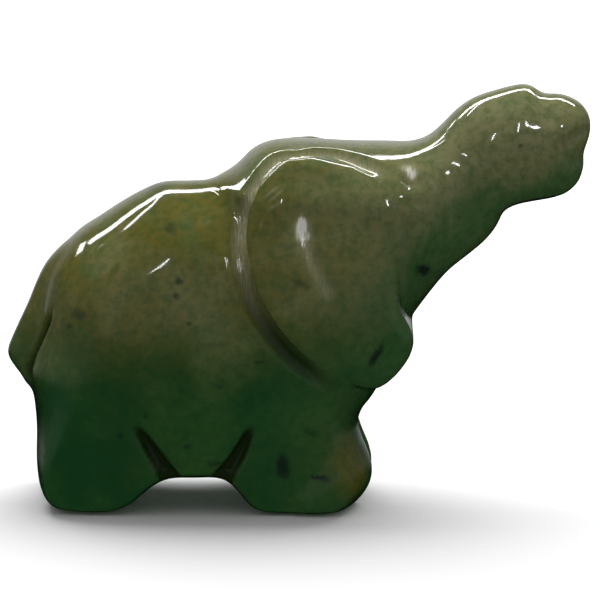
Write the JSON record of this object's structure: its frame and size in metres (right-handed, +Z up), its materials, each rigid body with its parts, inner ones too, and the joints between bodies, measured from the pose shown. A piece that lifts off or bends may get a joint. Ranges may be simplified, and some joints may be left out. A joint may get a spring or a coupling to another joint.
{
  "type": "elephant carving",
  "caption": "Small polished jade carving of an elephant standing on four short legs with its trunk raised forward.",
  "frame": {"origin": "middle of the bounding box, on the floor that the four feet stand on", "axes": "+X from the tail to the tip of the raised trunk, +Y the elephant's left side, +Z up"},
  "size_m": [0.0746, 0.0342, 0.0542],
  "materials": {
    "jade": "polished olive-green nephrite, slightly translucent, high gloss"
  },
  "bodies": {
    "root": {"elephant": "jade"}
  },
  "joints": []
}
